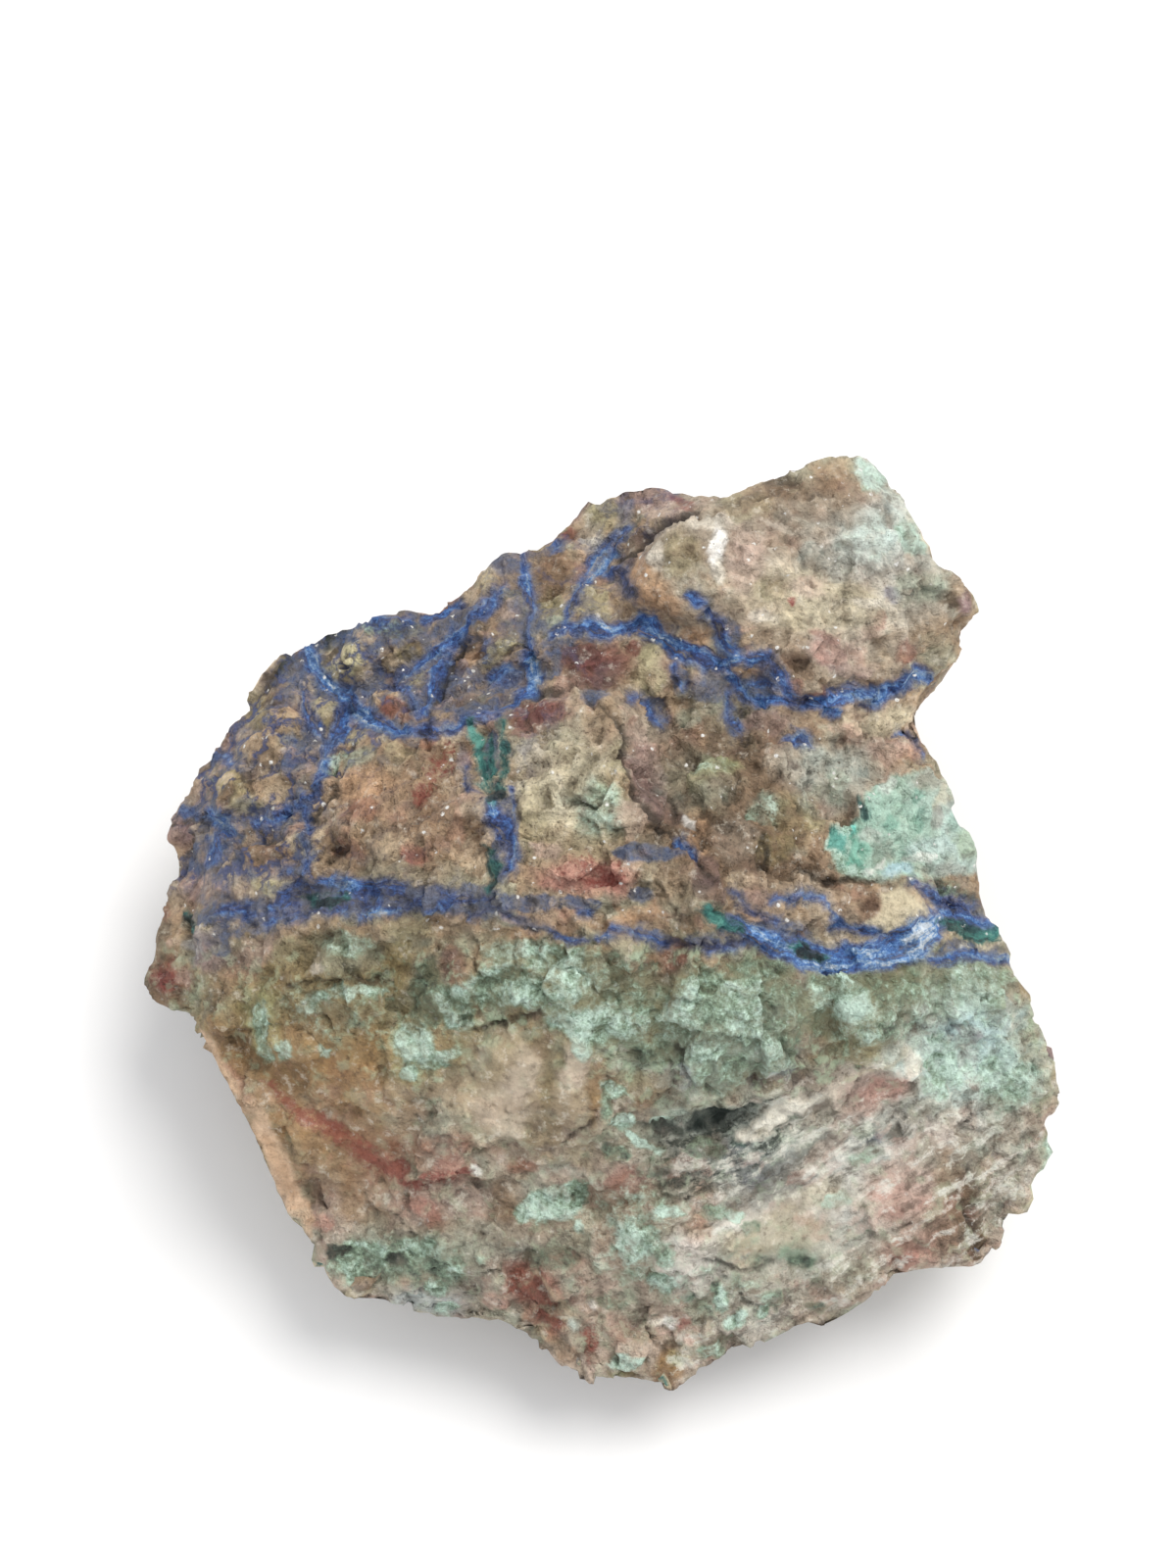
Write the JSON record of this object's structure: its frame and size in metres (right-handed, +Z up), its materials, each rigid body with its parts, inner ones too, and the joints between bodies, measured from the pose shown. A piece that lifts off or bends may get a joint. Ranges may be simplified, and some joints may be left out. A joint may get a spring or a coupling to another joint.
{
  "type": "azurite malachite specimen",
  "caption": "Rough hand specimen of copper-stained rock: blue azurite veins and green malachite crusts on a broken tan stone that rests on a flat face.",
  "frame": {"origin": "middle of the bounding box at the flat resting face", "axes": "+Z up from the resting face, +X to the right and -Y towards the viewer of the veined show face"},
  "size_m": [0.0958, 0.0934, 0.0422],
  "materials": {
    "stone": "rough broken rock with blue and green veins and crusts"
  },
  "bodies": {
    "root": {"stone": "stone"}
  },
  "joints": []
}
